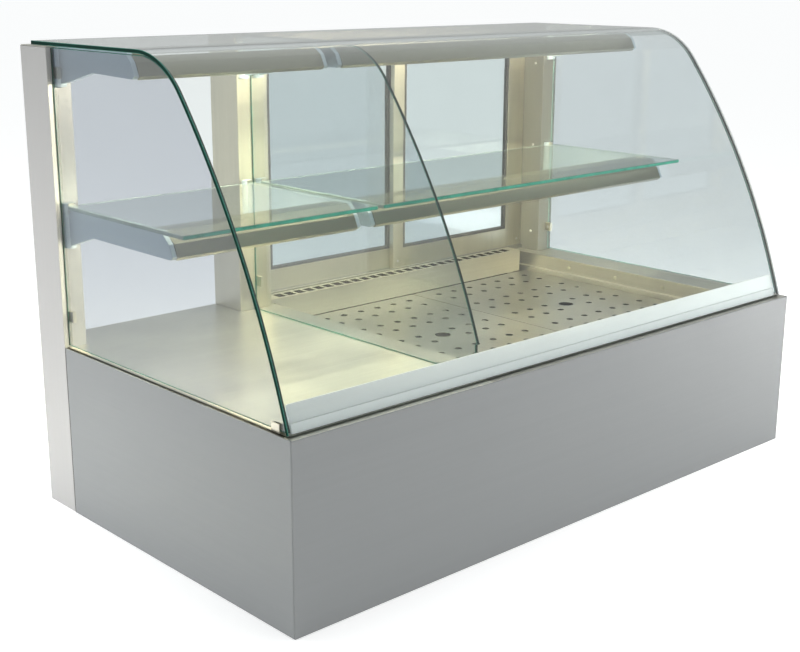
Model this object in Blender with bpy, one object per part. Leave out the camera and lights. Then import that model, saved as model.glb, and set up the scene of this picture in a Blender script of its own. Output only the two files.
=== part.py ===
"""Hot food display case: a countertop case with a curved tilting glass front, a plain deck, a heated well
with perforated plates, two glass shelves under lamp troughs, and two sliding doors on the operator's side.

Metres, +Z up. Places are measured from the left, front and bottom faces of the case, and `place` moves
them to the part's own origin, the centre of its footprint on the counter. The customer's side faces -Y.
"""

import math

import bmesh
import bpy
from mathutils import Vector

# Overall size
WIDTH = 1.200
DEPTH = 0.680
HEIGHT = 0.778
BASE_HEIGHT = 0.288

# Sheet, glass and the clearance kept between neighbouring pieces
SHEET = 0.002
GLASS = 0.006
GAP = 0.0003
EDGE = 0.0023  # a sheet and a clearance
SEAM = 0.0012  # the shadow line between a side panel and the post behind it
PAST = 0.010  # how far a cutter reaches past the wall that it cuts

# Lower casing
BASE_SHEET = 0.003
FOLD = 0.018
FOLD_LEVELS = ((0.0036, 0.0056), (BASE_HEIGHT - 0.0043, BASE_HEIGHT - 0.0023))
VENT_X = (0.160, 0.400)
VENT_LOWEST = 0.090
VENT_PITCH = 0.024
VENT_HEIGHT = 0.008
VENTS = 6
GLAND = (0.780, 0.060)  # centre of the mains gland, from the left and the bottom
GLAND_HOLE = 0.0105
GLAND_RADIUS = 0.010
GLAND_BORE = 0.005

# Posts at the rear
POST_FRONT = 0.598
POST_WIDTH = 0.044
POST_TOP = 0.770
CENTRE_POST = (0.357, 0.425)

# Curved front glass: a flat roof, a bend and a slightly bowed slope down to its foot
GLASS_REAR = 0.655
FOOT = (0.014, 0.2905)
FOOT_ANGLE = math.radians(73)
BEND_ANGLE = math.radians(52)
BEND_RADIUS = 0.135
GLASS_INSET = 0.006
END_INSET = 0.008  # outer faces of the two end glasses
SEAL = 0.002  # between the curved glass and the glasses under it
PARTITION_X = 0.385
CURVE_FOOT = 0.335  # the end glasses' curved edges stop just above this height
SILL_INSET = 0.0165
SILL_TOP = 0.302
PROFILE_TOP = 0.327
SILL_REAR = 0.036
CLIP_Y = (0.034, 0.052)
CLIP_WALL = 0.002

# Well and its plates
WELL = ((0.438, 0.072), (1.130, 0.641))
WELL_STEP_Z = 0.260
WELL_STEP = 0.008
PLATE_TOP = 0.250
PLATE_RIM = 0.015
PLATE_REAR = 0.603
WELL_REST = 0.006
WELL_REAR_STEP = 0.002
WELL_FLOOR = 0.120
WOOL_WALL = 0.018
WOOL_REAR = 0.006
WOOL_FLOOR = 0.020
WOOL_GAP = 0.001
FINGER_HOLE_RADIUS = 0.0145

# Air duct along the rear of the well
DUCT_X = (0.430, 1.104)
DUCT_Y = (0.604, 0.640)
DUCT_TOP = 0.297
DUCT_SLOTS = 27
DUCT_SLOT = (0.0175, 0.024)
DUCT_MARGIN = 0.020
DUCT_SHEET = 0.0015
BAR_HALF = 0.012
BAR_DEPTH = 0.020

# Shelf and roof brackets, one pair for each section
ARM = 0.008
BOSS_RADIUS = 0.010
BRACKET_X = {"left": 0.025, "centre_left": 0.371, "centre_right": 0.405, "right": 1.175}
SHELF_REST = 0.5165
SHELF_FRONT = 0.256
SHELF_REAR = 0.585
ROOF_REST = 0.7713

# Sliding doors
DOOR_WIDTH = 0.3795
DOOR_THICK = 0.012
DOOR_Z = (0.2945, 0.7530)
DOOR_GLASS_Z = (0.336, 0.722)
LEFT_DOOR = (0.426, 0.664)
RIGHT_DOOR = (0.7755, 0.6505)
STILE = 0.048
MEETING_STILE = 0.027
TRACK_Y = (0.646, 0.6797)

# Operator's controls in a recess of the rear panel
RECESS_X = (0.880, 1.120)
RECESS_Z = (0.110, 0.210)
PANEL_Y = 0.655
KNOB_X = 0.930
SWITCH_X = {"heat_switch": 1.000, "light_switch": 1.045}
SWITCH_HALF = 0.0092
SWITCH_HOLE = (0.0105, 0.0145)
KNOB_RADIUS = 0.020
KNOB_RIM = 0.018
KNOB_HEIGHT = 0.0195
LAMP_RADIUS = 0.006
TRAY_WALL = 0.006
LAMP_X = 1.085
CONTROL_Z = 0.160

# Fan on the baffle under the plates
FAN_CENTRE = (0.784, 0.168)
FAN_SIZE = 0.092
FAN_HOLE_RADIUS = 0.041
IMPELLER_RADIUS = 0.038
FAN_Y = (0.574, 0.6035)
BLADES = 5

# Heating element under the plates
HEATER_LEVEL = 0.165
HEATER_X = (0.560, 1.010)
HEATER_FRONT = 0.180
HEATER_PITCH = 0.080
HEATER_RADIUS = 0.004
HEATER_BEND = 0.012
HEATER_LEAD = 0.030


def clear_scene():
    for obj in list(bpy.data.objects):
        bpy.data.objects.remove(obj, do_unlink=True)


def place(x, y, z):
    """A point measured from the left, front and bottom faces, in the part's own frame."""
    return Vector((x - WIDTH / 2, y - DEPTH / 2, z))


def make_material(name, color, roughness, metallic=0.0, transmission=0.0):
    material = bpy.data.materials.new(name)
    material.use_nodes = True
    shader = material.node_tree.nodes["Principled BSDF"]
    shader.inputs["Base Color"].default_value = (*color, 1)
    shader.inputs["Roughness"].default_value = roughness
    shader.inputs["Metallic"].default_value = metallic
    shader.inputs["Transmission Weight"].default_value = transmission
    return material


def add_object(name, bm, material, origin=None):
    """An object from bm, whose points are in the part's frame. A piece that moves has its own origin."""
    origin = Vector((0, 0, 0)) if origin is None else origin
    bmesh.ops.recalc_face_normals(bm, faces=bm.faces)
    bmesh.ops.translate(bm, verts=bm.verts, vec=-origin)
    mesh = bpy.data.meshes.new(name)
    bm.to_mesh(mesh)
    bm.free()
    mesh.materials.append(material)
    obj = bpy.data.objects.new(name, mesh)
    obj.location = origin
    bpy.context.scene.collection.objects.link(obj)
    return obj


def prism(axis, outline, low, high):
    """A solid with the given outline, extruded along an axis from low to high.

    The outline's two numbers are (y, z) along x, (x, z) along y and (x, y) along z.
    """
    order = {"x": (2, 0, 1), "y": (0, 2, 1), "z": (0, 1, 2)}[axis]
    bm = bmesh.new()
    start = []
    for point in outline:
        numbers = (*point, low)
        start.append(bm.verts.new(place(*(numbers[i] for i in order))))
    face = bm.faces.new(start)
    step = Vector((axis == "x", axis == "y", axis == "z")) * (high - low)
    grown = bmesh.ops.extrude_face_region(bm, geom=[face])
    moved = [item for item in grown["geom"] if isinstance(item, bmesh.types.BMVert)]
    bmesh.ops.translate(bm, verts=moved, vec=step)
    return bm


def block(low, high):
    """A rectangular solid between two corners."""
    outline = [(low[0], low[1]), (high[0], low[1]), (high[0], high[1]), (low[0], high[1])]
    return prism("z", outline, low[2], high[2])


def disc(axis, centre, radius, low, high, sides=24):
    """A round solid along an axis, its centre given as in a prism's outline."""
    turn = 2 * math.pi / sides
    outline = [
        (centre[0] + radius * math.cos(turn * i), centre[1] + radius * math.sin(turn * i))
        for i in range(sides)
    ]
    return prism(axis, outline, low, high)


def helper(name, bm):
    """A hidden solid that a Boolean reads."""
    bmesh.ops.recalc_face_normals(bm, faces=bm.faces)
    mesh = bpy.data.meshes.new(name)
    bm.to_mesh(mesh)
    bm.free()
    obj = bpy.data.objects.new(name, mesh)
    obj.hide_render = True
    obj.display_type = "WIRE"
    bpy.context.scene.collection.objects.link(obj)
    return obj


def combine(obj, bm, operation):
    """Cut bm's shape from an object, or weld it on."""
    tool = helper(f"{obj.name}.{operation.lower()}.{len(obj.modifiers)}", bm)
    modifier = obj.modifiers.new(operation.title(), "BOOLEAN")
    modifier.object = tool
    modifier.operation = operation


def cut(obj, *shapes):
    for shape in shapes:
        combine(obj, shape, "DIFFERENCE")


def weld(obj, *shapes):
    for shape in shapes:
        combine(obj, shape, "UNION")


def sheet_outline(path, thickness):
    """The outline of a folded sheet. Its outer face follows a path, and its thickness is on the right."""
    inner = []
    for i, point in enumerate(path):
        before = Vector(path[max(i - 1, 0)])
        after = Vector(path[min(i + 1, len(path) - 1)])
        here = Vector(point)
        first = (here - before).normalized() if i else (after - here).normalized()
        second = (after - here).normalized() if i < len(path) - 1 else first
        normal = Vector((first.y + second.y, -first.x - second.x)).normalized()
        share = normal.dot(Vector((first.y, -first.x)))
        inner.append(tuple(here + normal * thickness / share))
    return [*path, *reversed(inner)]


def arc(centre, radius, start, end, steps):
    """Points (y, z) on an arc, its angles measured from straight up towards the front."""
    turns = [start + (end - start) * i / steps for i in range(steps + 1)]
    return [(centre[0] - radius * math.sin(t), centre[1] + radius * math.cos(t)) for t in turns]


def glass_line(inset, bend_steps=8, slope_steps=8):
    """The curved glass's line (y, z) from its rear edge to its foot, this far inside its outer face."""
    bend_rise = BEND_RADIUS * (1 - math.cos(BEND_ANGLE))
    slope_height = HEIGHT - bend_rise - FOOT[1]
    slope_radius = slope_height / (math.cos(BEND_ANGLE) - math.cos(FOOT_ANGLE))
    slope_centre = (
        FOOT[0] + slope_radius * math.sin(FOOT_ANGLE),
        FOOT[1] - slope_radius * math.cos(FOOT_ANGLE),
    )
    bend_y = slope_centre[0] - (slope_radius - BEND_RADIUS) * math.sin(BEND_ANGLE)
    bend = arc((bend_y, HEIGHT - BEND_RADIUS), BEND_RADIUS - inset, 0, BEND_ANGLE, bend_steps)
    slope = arc(slope_centre, slope_radius - inset, BEND_ANGLE, FOOT_ANGLE, slope_steps)
    return [(GLASS_REAR, HEIGHT - inset), *bend, *slope[1:]]


def add_base(steel):
    """The lower casing: a bottom plate and four folded panels."""
    rear, post = DEPTH - EDGE, POST_WIDTH + GAP
    front = POST_FRONT - GAP
    outline = [
        (EDGE, EDGE), (WIDTH - EDGE, EDGE), (WIDTH - EDGE, front), (WIDTH - post, front),
        (WIDTH - post, rear), (post, rear), (post, front), (EDGE, front),
    ]
    add_object("base_plate", prism("z", outline, 0, BASE_SHEET), steel)
    panel = add_object("front_panel", block((0, 0, 0), (WIDTH, SHEET, BASE_HEIGHT)), steel)
    for low, high in FOLD_LEVELS:
        weld(panel, block((BASE_SHEET, SHEET / 2, low), (WIDTH - BASE_SHEET, SHEET + FOLD, high)))
    near, far = SHEET + FOLD + 0.001, POST_FRONT - SEAM - 0.001
    for name, outer, inner in (("left_side_panel", 0, 1), ("right_side_panel", WIDTH, -1)):
        xs = sorted((outer, outer + inner * SHEET))
        panel = add_object(name, block((xs[0], EDGE, 0), (xs[1], POST_FRONT - SEAM, BASE_HEIGHT)), steel)
        xs = sorted((outer + inner * SHEET / 2, outer + inner * (SHEET + FOLD)))
        for low, high in FOLD_LEVELS:
            weld(panel, block((xs[0], near, low), (xs[1], far, high)))
    add_rear_panel(steel, post)


def add_rear_panel(steel, post):
    """The operator's lower panel: a window for the controls, air slots and the mains gland's hole."""
    top = BASE_HEIGHT - EDGE
    rear = add_object("rear_panel", block((post, DEPTH - SHEET, 0), (WIDTH - post, DEPTH, top)), steel)
    low, high = top - 0.004, top - 0.002
    near, far = DEPTH - SHEET - FOLD, DEPTH - SHEET / 2
    weld(rear, block((post + 0.001, near, low), (WIDTH - post - 0.001, far, high)))
    inside, outside = DEPTH - PAST, DEPTH + PAST
    cut(rear, block((RECESS_X[0], inside, RECESS_Z[0]), (RECESS_X[1], outside, RECESS_Z[1])))
    for i in range(VENTS):
        z = VENT_LOWEST + VENT_PITCH * i
        cut(rear, block((VENT_X[0], inside, z), (VENT_X[1], outside, z + VENT_HEIGHT)))
    cut(rear, disc("y", GLAND, GLAND_HOLE, inside, outside, 16))


def add_posts(steel):
    """Rectangular tubes at the rear: two that stand on the counter, and one on the deck."""
    posts = (
        ("rear_left_post", 0, POST_WIDTH, DEPTH, 0),
        ("rear_right_post", WIDTH - POST_WIDTH, WIDTH, DEPTH, 0),
        ("centre_post", *CENTRE_POST, DEPTH - SHEET, BASE_HEIGHT + GAP),
    )
    for name, left, right, rear, foot in posts:
        post = add_object(name, block((left, POST_FRONT, foot), (right, rear, POST_TOP)), steel)
        inside_low = (left + SHEET, POST_FRONT + SHEET, foot - PAST)
        cut(post, block(inside_low, (right - SHEET, rear - SHEET, POST_TOP + PAST)))


def ring(bm, low, high, z):
    """The four corners of a level rectangle."""
    corners = ((low[0], low[1]), (high[0], low[1]), (high[0], high[1]), (low[0], high[1]))
    return [bm.verts.new(place(x, y, z)) for x, y in corners]


def grown(low, high, side, front, rear):
    """A rectangle made wider by side left and right, and longer by front and rear."""
    return (low[0] - side, low[1] - front), (high[0] + side, high[1] + rear)


def wrapped(low, high):
    """A rectangle round the outside of a sheet whose inside it is given."""
    return grown(low, high, SHEET, SHEET, SHEET)


def add_deck(steel):
    """The plain deck of the left section, and the well with its flange."""
    top, under = BASE_HEIGHT, BASE_HEIGHT - SHEET
    post = POST_WIDTH + GAP
    seam = PARTITION_X + 0.003
    outline = [
        (EDGE, EDGE), (seam, EDGE), (seam, DEPTH), (post, DEPTH), (post, POST_FRONT - GAP),
        (EDGE, POST_FRONT - GAP),
    ]
    add_object("deck_plate", prism("z", outline, under, top), steel)

    low, high = WELL
    step = grown(low, high, -WELL_STEP, -WELL_STEP, -WELL_REAR_STEP)
    rest = grown(*step, -WELL_REST, -WELL_REST, -WELL_REAR_STEP)
    rest_z = PLATE_TOP - PLATE_RIM - GAP
    flange = ((seam + GAP, EDGE), (WIDTH - EDGE, DEPTH))
    bm = bmesh.new()
    levels = [
        (*rest, WELL_FLOOR), (*rest, rest_z), (*step, rest_z), (*step, WELL_STEP_Z),
        (low, high, WELL_STEP_Z), (low, high, top), (*flange, top), (*flange, under),
        (*wrapped(low, high), under), (*wrapped(low, high), WELL_STEP_Z - SHEET),
        (*wrapped(*step), WELL_STEP_Z - SHEET), (*wrapped(*step), rest_z - SHEET),
        (*wrapped(*rest), rest_z - SHEET), (*wrapped(*rest), WELL_FLOOR - SHEET),
    ]
    rings = [ring(bm, *level) for level in levels]
    for first, second in zip(rings, rings[1:]):
        for i in range(4):
            j = (i + 1) % 4
            bm.faces.new((first[i], first[j], second[j], second[i]))
    bm.faces.new(rings[0])
    bm.faces.new(rings[-1])
    well = add_object("well_pan", bm, steel)
    corner_low = (WIDTH - post, POST_FRONT - GAP, under - PAST)
    cut(well, block(corner_low, (WIDTH + PAST, DEPTH + PAST, top + PAST)))


def add_insulation(wool):
    """A tray of insulation round the lower well."""
    low, high = grown(*WELL, -WELL_STEP + SHEET + WOOL_GAP, 0, SHEET + WOOL_GAP)
    top = WELL_STEP_Z - 0.006
    floor = WELL_FLOOR - SHEET - WOOL_GAP
    outer_low = (low[0] - WOOL_WALL, low[1] - WOOL_WALL, floor - WOOL_FLOOR)
    outer = block(outer_low, (high[0] + WOOL_WALL, high[1] + WOOL_REAR, top))
    tray = add_object("well_insulation", outer, wool)
    cut(tray, block((low[0], low[1], floor), (high[0], high[1], top + PAST)))


def add_plates(steel):
    """The two perforated plates, each a shallow turned-down tray with a finger hole. They lift out."""
    left = WELL[0][0] + WELL_STEP + 0.0005
    right = WELL[1][0] - WELL_STEP - 0.0005
    middle = (left + right) / 2
    front = WELL[0][1] + WELL_STEP + 0.001
    low_z = PLATE_TOP - PLATE_RIM
    for name, x0, x1 in (
        ("left_perforated_plate", left, middle - GAP), ("right_perforated_plate", middle + GAP, right)
    ):
        centre = ((x0 + x1) / 2, (front + PLATE_REAR) / 2)
        outer = block((x0, front, low_z), (x1, PLATE_REAR, PLATE_TOP))
        plate = add_object(name, outer, steel, place(*centre, PLATE_TOP))
        inner_low = (x0 + SHEET, front + SHEET, low_z - PAST)
        cut(
            plate,
            block(inner_low, (x1 - SHEET, PLATE_REAR - SHEET, PLATE_TOP - SHEET)),
            disc("z", centre, FINGER_HOLE_RADIUS, PLATE_TOP - PAST, PLATE_TOP + PAST, 20),
        )
    top = low_z - GAP
    bar = sheet_outline(
        [(middle - BAR_HALF, top - BAR_DEPTH), (middle - BAR_HALF, top), (middle + BAR_HALF, top),
         (middle + BAR_HALF, top - BAR_DEPTH)], SHEET,
    )
    add_object("plate_support_bar", prism("y", bar, WELL[0][1] + 0.015, PLATE_REAR - 0.018), steel)


def add_duct(steel):
    """The slotted air duct over the well's rear edge, and the baffle under it that carries the fan."""
    front, rear = DUCT_Y
    path = [(front, PLATE_TOP + 0.001), (front, DUCT_TOP), (rear, DUCT_TOP), (rear, BASE_HEIGHT + 0.001)]
    duct = add_object("air_duct", prism("x", sheet_outline(path, DUCT_SHEET), *DUCT_X), steel)
    wall = WELL[0][0]
    notch_low = (DUCT_X[0] - PAST, front - PAST, PLATE_TOP - PAST)
    cut(
        duct,
        block(notch_low, (wall + 0.001, rear - PAST, BASE_HEIGHT + 0.001)),
        block(notch_low, (wall + WELL_STEP + 0.001, rear - PAST, WELL_STEP_Z + 0.001)),
    )
    pitch = (DUCT_X[1] - DUCT_X[0] - 2 * DUCT_MARGIN) / DUCT_SLOTS
    width, length = DUCT_SLOT
    near = front + (rear - front - length) / 2
    for i in range(DUCT_SLOTS):
        x = DUCT_X[0] + DUCT_MARGIN + pitch * (i + 0.5)
        low = (x - width / 2, near, DUCT_TOP - PAST / 2)
        cut(duct, block(low, (x + width / 2, near + length, DUCT_TOP + PAST)))

    inset = WELL_STEP + WELL_REST + 0.0005
    rest = PLATE_TOP - PLATE_RIM - GAP
    upright = PLATE_REAR + 0.003
    path = [(PLATE_REAR - 0.015, rest), (upright, rest), (upright, WELL_FLOOR + GAP)]
    baffle = prism("x", sheet_outline(path, SHEET), WELL[0][0] + inset, WELL[1][0] - inset)
    baffle = add_object("duct_baffle", baffle, steel)
    cut(baffle, disc("y", FAN_CENTRE, FAN_HOLE_RADIUS, upright - PAST, upright + PAST, 24))


def add_fan(housing, blades):
    """An axial fan in front of the baffle: a square frame, a motor on crossed struts, and the impeller."""
    x, z = FAN_CENTRE
    half = FAN_SIZE / 2
    front, rear = FAN_Y
    square = block((x - half, front, z - half), (x + half, rear, z + half))
    frame = add_object("fan_housing", square, housing)
    cut(frame, disc("y", FAN_CENTRE, FAN_HOLE_RADIUS, front - PAST, rear + PAST, 32))
    strut, reach = 0.003, half - 0.003
    weld(
        frame,
        block((x - reach, rear - 0.004, z - strut), (x + reach, rear - 0.001, z + strut)),
        block((x - strut, rear - 0.0045, z - reach), (x + strut, rear - 0.0015, z + reach)),
        disc("y", FAN_CENTRE, 0.018, rear - 0.012, rear - 0.0005, 16),
    )
    hub = disc("y", FAN_CENTRE, 0.016, front + 0.002, rear - 0.013, 16)
    impeller = add_object("fan_impeller", hub, blades, place(x, front, z))
    for i in range(BLADES):
        weld(impeller, fan_blade(2 * math.pi * i / BLADES, front + 0.004, rear - 0.015))


def fan_blade(angle, front, rear):
    """One pitched blade that starts inside the hub."""
    outline = [(-0.009, front), (-0.006, front), (0.009, rear), (0.006, rear)]
    bm = bmesh.new()
    rings = []
    for reach in (0.012, IMPELLER_RADIUS):
        corners = []
        for side, y in outline:
            across = side * (0.8 if reach < 0.02 else 1.3)
            x = FAN_CENTRE[0] + reach * math.cos(angle) - across * math.sin(angle)
            z = FAN_CENTRE[1] + reach * math.sin(angle) + across * math.cos(angle)
            corners.append(bm.verts.new(place(x, y, z)))
        rings.append(corners)
    for i in range(4):
        j = (i + 1) % 4
        bm.faces.new((rings[0][i], rings[0][j], rings[1][j], rings[1][i]))
    bm.faces.new(rings[0])
    bm.faces.new(rings[1])
    return bm


def add_heater(sheath):
    """The tubular heating element: four passes under the plates, both ends down to the well's floor."""
    left, right = HEATER_X
    level, turn_radius = HEATER_LEVEL, HEATER_PITCH / 2
    rows = [HEATER_FRONT + HEATER_PITCH * i for i in range(4)]

    def lead(y):
        """One end's way up from the well's floor and over to the first or last pass."""
        x = left - HEATER_LEAD
        return [(x, y, WELL_FLOOR + 0.001), (x, y, level - HEATER_BEND), (x + HEATER_BEND, y, level)]

    points = lead(rows[0])
    for i, y in enumerate(rows):
        start, side, way = (left, right, 1) if i % 2 == 0 else (right, left, -1)
        points += [(start, y, level), (side, y, level)]
        if i == len(rows) - 1:
            break
        for turn in (30, 60, 90, 120, 150):
            t = math.radians(turn)
            over, along = turn_radius * math.sin(t), turn_radius * (1 - math.cos(t))
            points.append((side + way * over, y + along, level))
    points += reversed(lead(rows[-1]))
    curve = bpy.data.curves.new("heating_element", "CURVE")
    curve.dimensions = "3D"
    curve.bevel_depth = HEATER_RADIUS
    curve.bevel_resolution = 1
    curve.use_fill_caps = True
    spline = curve.splines.new("POLY")
    spline.points.add(len(points) - 1)
    for target, point in zip(spline.points, points):
        target.co = (*place(*point), 1)
    curve.materials.append(sheath)
    obj = bpy.data.objects.new("heating_element", curve)
    bpy.context.scene.collection.objects.link(obj)


def add_fixed_glass(glass, metal):
    """The two end glasses and the partition, cut to the curve just under the front glass."""
    line = glass_line(GLASS + SEAL)
    curve = [point for point in line[1:] if point[1] > CURVE_FOOT]
    rear = POST_FRONT - GAP
    roof = ROOF_REST - SEAL
    foot = BASE_HEIGHT + 0.0036
    ends = [(rear, roof), *curve, (line[-1][0], foot), (rear, foot)]
    xs = {"left": END_INSET, "right": WIDTH - END_INSET - GLASS}
    for side, x in xs.items():
        add_object(f"{side}_end_glass", prism("x", lowered(ends, roof), x, x + GLASS), glass)
    back, foot = FOOT[0] + 0.028, BASE_HEIGHT + GAP
    middle = [(rear, roof), *curve, (back, curve[-1][1]), (back, foot), (rear, foot)]
    partition = prism("x", lowered(middle, roof), PARTITION_X, PARTITION_X + GLASS)
    add_object("partition_glass", partition, glass)
    rest = BASE_HEIGHT + 0.0032
    for side, x in xs.items():
        low, high = x - CLIP_WALL, x + GLASS + CLIP_WALL
        outline = [
            (low, foot), (high, foot), (high, SILL_TOP), (x + GLASS + GAP, SILL_TOP),
            (x + GLASS + GAP, rest), (x - GAP, rest), (x - GAP, SILL_TOP), (low, SILL_TOP),
        ]
        add_object(f"{side}_foot_clip", prism("y", outline, *CLIP_Y), metal)


def lowered(outline, top):
    """The outline with nothing above a height, so that a glass stays under the roof."""
    return [(y, min(z, top)) for y, z in outline]


def add_front_glass(glass, metal):
    """The fixed sill, and the curved glass with its foot profile, which tilt forward together."""
    lean = 1 / math.tan(FOOT_ANGLE)
    behind = FOOT[0] + GLASS / math.sin(FOOT_ANGLE) + SEAL

    def face(z):
        return behind + (z - FOOT[1]) * lean

    low, split, top, back = BASE_HEIGHT + GAP, SILL_TOP, PROFILE_TOP, SILL_REAR
    xs = (SILL_INSET, WIDTH - SILL_INSET)
    sill = [(face(low), low), (back, low), (back, split - GAP), (face(split), split - GAP)]
    add_object("front_sill", prism("x", sill, *xs), metal)

    hinge = bpy.data.objects.new("front_glass_hinge", None)
    hinge.location = place(WIDTH / 2, 0.012, FOOT[1])
    bpy.context.scene.collection.objects.link(hinge)
    section = [*glass_line(0), *reversed(glass_line(GLASS))]
    pane = add_object("front_glass", prism("x", section, GLASS_INSET, WIDTH - GLASS_INSET), glass)
    section = [(face(split), split + GAP), (back, split + GAP), (back, top), (face(top), top)]
    profile = add_object("glass_foot_profile", prism("x", section, *xs), metal)
    for obj in (pane, profile):
        obj.parent = hinge
        obj.location = -hinge.location


def add_bracket(name, x, outline, boss_z, metal):
    """A cantilever arm with a half-round boss on the post."""
    arm = add_object(name, prism("x", outline, x - ARM / 2, x + ARM / 2), metal)
    turns = [math.pi * i / 10 for i in range(11)]
    rear = POST_FRONT - GAP
    half = [(x + BOSS_RADIUS * math.cos(t), rear - 0.001 - BOSS_RADIUS * math.sin(t)) for t in turns]
    weld(arm, prism("z", [(x + BOSS_RADIUS, rear), *half, (x - BOSS_RADIUS, rear)], *boss_z))


def add_brackets(metal):
    """Four roof brackets and four shelf brackets, one at each side of each section."""
    inside = POST_FRONT - 0.005
    roof = [
        (0.396, ROOF_REST - 0.001), (inside, ROOF_REST - 0.001), (inside, 0.713), (0.560, 0.719),
        (0.490, 0.736), (0.379, 0.733), (0.373, 0.738), (0.381, 0.757),
    ]
    shelf = [
        (0.317, SHELF_REST), (inside, SHELF_REST), (inside, 0.456), (0.570, 0.463), (0.517, 0.480),
        (0.299, 0.480), (0.293, 0.485), (0.301, 0.503),
    ]
    for side, x in BRACKET_X.items():
        add_bracket(f"{side}_roof_bracket", x, roof, (0.709, ROOF_REST - 0.0015), metal)
        add_bracket(f"{side}_shelf_bracket", x, shelf, (0.453, 0.5265), metal)


def add_troughs(steel, lamp_glass):
    """A faceted lamp trough between each pair of brackets, with its lamp tube."""
    ends = {"left": ("left", "centre_left"), "right": ("centre_right", "right")}
    kinds = {
        "roof": [(0.430, 0.7695), (0.396, 0.7695), (0.380, 0.757), (0.371, 0.737), (0.377, 0.732)],
        "shelf": [(0.352, 0.5155), (0.317, 0.5155), (0.300, 0.503), (0.291, 0.484), (0.297, 0.479)],
    }
    for kind, path in kinds.items():
        for side, (first, second) in ends.items():
            x0, x1 = BRACKET_X[first] + ARM / 2 + GAP, BRACKET_X[second] - ARM / 2 - GAP
            section = sheet_outline(path[::-1], SHEET)
            trough = add_object(f"{side}_{kind}_trough", prism("x", section, x0, x1), steel)
            closing = [path[0], path[1], path[2], path[3], (path[0][0], path[0][1] - 0.012)]
            for low, high in ((x0, x0 + SHEET), (x1 - SHEET, x1)):
                weld(trough, prism("x", shrunk(closing, 0.0005), low + 0.0001, high - 0.0001))
            centre = (path[1][0] + 0.008, path[1][1] - 0.020)
            tube = disc("x", centre, 0.006, x0 + SHEET + 0.001, x1 - SHEET - 0.001, 12)
            add_object(f"{side}_{kind}_lamp", tube, lamp_glass)


def shrunk(outline, inset):
    """An outline drawn in towards its middle, so that its edges lie inside the sheet round it."""
    middle = sum((Vector(point) for point in outline), Vector((0, 0))) / len(outline)
    return [tuple(Vector(p) + (middle - Vector(p)).normalized() * inset * 2) for p in outline]


def add_shelves(glass):
    """Two plain glass shelves that rest on the shelf brackets. They lift off."""
    for name, x0, x1 in (("left_shelf", 0.0165, 0.381), ("right_shelf", 0.395, 1.1835)):
        low = SHELF_REST + GAP
        middle = place((x0 + x1) / 2, (SHELF_FRONT + SHELF_REAR) / 2, low)
        add_object(name, block((x0, SHELF_FRONT, low), (x1, SHELF_REAR, low + GLASS)), glass, middle)


def add_tracks(metal):
    """Grooved door tracks on the deck and under the header."""
    left, right = CENTRE_POST[1] + GAP, WIDTH - POST_WIDTH - GAP
    tracks = (
        ("bottom_door_track", BASE_HEIGHT + GAP, DOOR_Z[0] + 0.003, DOOR_Z[0] - 0.0004, 1),
        ("top_door_track", DOOR_Z[1] - 0.006, POST_TOP - 0.0005, DOOR_Z[1] + 0.0004, -1),
    )
    for name, low, high, stop, way in tracks:
        track = add_object(name, block((left, TRACK_Y[0], low), (right, TRACK_Y[1], high)), metal)
        for y in (LEFT_DOOR[1], RIGHT_DOOR[1]):
            zs = sorted((stop, stop + way * 0.03))
            low_corner = (left - PAST, y - 2 * GAP, zs[0])
            cut(track, block(low_corner, (right + PAST, y + DOOR_THICK + 2 * GAP, zs[1])))


def add_doors(steel, glass, plastic):
    """Two framed sliding doors with grips on the operator's side. The right one is nearer the customer."""
    doors = (
        ("left_door", LEFT_DOOR, STILE, MEETING_STILE, LEFT_DOOR[0] + 0.020),
        ("right_door", RIGHT_DOOR, MEETING_STILE, STILE, RIGHT_DOOR[0] + DOOR_WIDTH - 0.036),
    )
    for name, (x, y), left, right, grip_x in doors:
        middle = place(x + DOOR_WIDTH / 2, y, DOOR_Z[0])
        outer = block((x, y, DOOR_Z[0]), (x + DOOR_WIDTH, y + DOOR_THICK, DOOR_Z[1]))
        frame = add_object(f"{name}_frame", outer, steel, middle)
        x0, x1 = x + left, x + DOOR_WIDTH - right
        low, high = DOOR_GLASS_Z
        cut(frame, block((x0, y - PAST, low), (x1, y + DOOR_THICK + PAST, high)))
        pane = block((x0 + GAP, y + 0.004, low + GAP), (x1 - GAP, y + 0.008, high - GAP))
        add_object(f"{name}_glass", pane, glass, middle)
        back = y + DOOR_THICK + GAP
        reach = 0.0155 if name == "right_door" else DEPTH - back - GAP
        bow = back + reach * 0.7
        outline = [
            (back, 0.612), (bow, 0.616), (back + reach, 0.624),
            (back + reach, 0.694), (bow, 0.702), (back, 0.706),
        ]
        add_object(f"{name}_grip", prism("x", outline, grip_x, grip_x + 0.016), plastic, middle)


def rocker_outline(face):
    """A rocker from the side, as (y, z), with a narrow back that clears the insulation."""
    half, back, raised, pressed = 0.013, 0.003, 0.0055, 0.002
    points = [(PANEL_Y - back, -0.005), (PANEL_Y - back, 0.005), (PANEL_Y, half),
              (face + pressed, half), (face + 0.003, 0), (face + raised, -half), (PANEL_Y, -half)]
    return [(y, CONTROL_Z + z) for y, z in points]


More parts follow.
